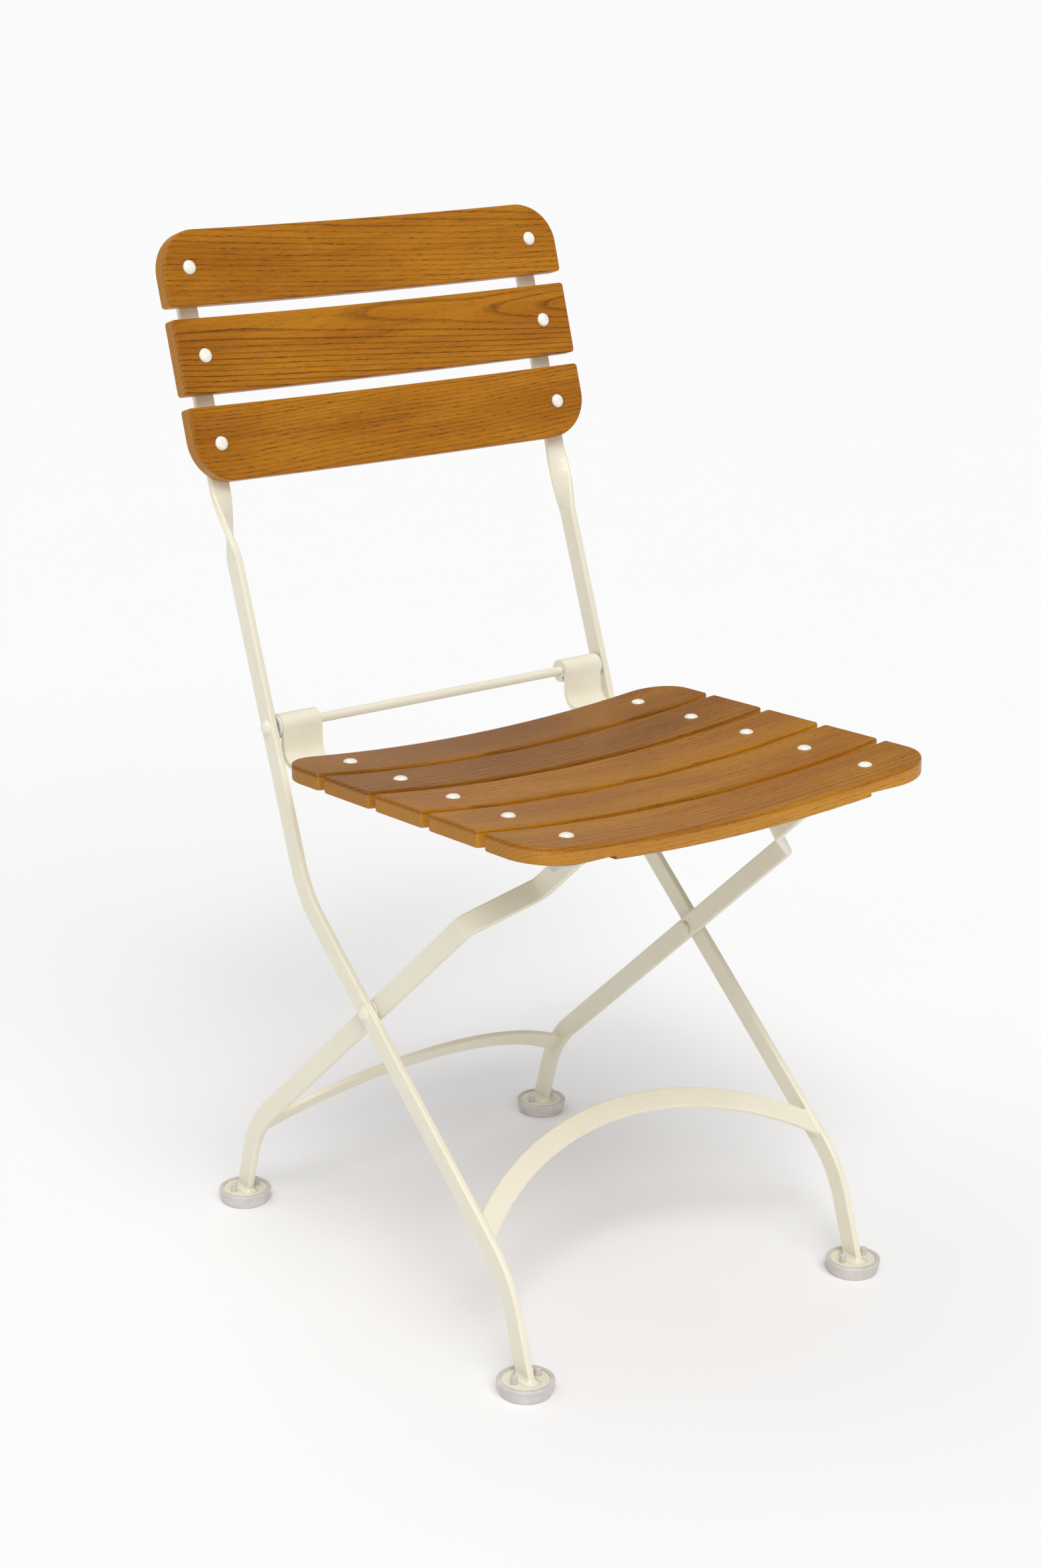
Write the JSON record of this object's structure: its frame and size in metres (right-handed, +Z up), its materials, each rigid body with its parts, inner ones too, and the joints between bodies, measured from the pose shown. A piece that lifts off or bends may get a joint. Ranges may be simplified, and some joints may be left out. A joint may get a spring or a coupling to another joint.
{
  "type": "folding chair",
  "caption": "Folding bistro chair: flat steel side bars crossed by rear legs, arched braces and dished wooden slats; seat and rear legs fold together.",
  "frame": {"origin": "middle of the chair's outline on the floor, at the bottom of the four glides", "axes": "+Z up, -Y towards the front of the seat, +X the sitter's left"},
  "size_m": [0.405, 0.5354, 0.8454],
  "materials": {
    "powder_coated_steel": "cream powder coat, satin",
    "painted_rivets": "off-white painted rivet heads",
    "oiled_wood": "honey-brown hardwood, oiled",
    "white_plastic": "cool white moulded plastic",
    "bare_steel": "bare turned steel"
  },
  "bodies": {
    "frame": {"backrest_rivets": "painted_rivets", "backrest_slat_bottom": "oiled_wood", "backrest_slat_middle": "oiled_wood", "backrest_slat_top": "oiled_wood", "foot_plate_front_left": "powder_coated_steel", "foot_plate_front_right": "powder_coated_steel", "front_arch": "powder_coated_steel", "glide_front_left": "white_plastic", "glide_front_right": "white_plastic", "hinge_collar_left": "bare_steel", "hinge_collar_right": "bare_steel", "hinge_rod": "powder_coated_steel", "hinge_washer_left": "white_plastic", "hinge_washer_right": "white_plastic", "pivot_rivet_left": "painted_rivets", "pivot_rivet_right": "painted_rivets", "pivot_washer_left": "white_plastic", "pivot_washer_right": "white_plastic", "side_bar_left": "powder_coated_steel", "side_bar_right": "powder_coated_steel"},
    "rear_legs": {"crossbar": "powder_coated_steel", "foot_plate_rear_left": "powder_coated_steel", "foot_plate_rear_right": "powder_coated_steel", "glide_rear_left": "white_plastic", "glide_rear_right": "white_plastic", "rear_arch": "powder_coated_steel", "rear_leg_left": "powder_coated_steel", "rear_leg_right": "powder_coated_steel", "slide_cap_left": "white_plastic", "slide_cap_right": "white_plastic"},
    "seat": {"hinge_bush_left": "white_plastic", "hinge_bush_right": "white_plastic", "seat_rivets": "painted_rivets", "seat_slat_1": "oiled_wood", "seat_slat_2": "oiled_wood", "seat_slat_3": "oiled_wood", "seat_slat_4": "oiled_wood", "seat_slat_5": "oiled_wood", "seat_stops": "powder_coated_steel", "seat_strap_left": "powder_coated_steel", "seat_strap_right": "powder_coated_steel"}
  },
  "joints": [
    {"name": "seat_fold", "type": "hinge", "parent": "frame", "child": "seat", "pos_m": [0, 0.1288, 0.4531], "axis": [-1, 0, 0], "range_deg": [0, 83]},
    {"name": "rear_legs_fold", "type": "hinge", "parent": "frame", "child": "rear_legs", "pos_m": [0, -0.0092, 0.2461], "axis": [-1, 0, 0], "range_deg": [0, 68]}
  ],
  "couplings": [
    {"joint": "rear_legs_fold", "follows": "seat_fold", "ratio": 0.819}
  ]
}
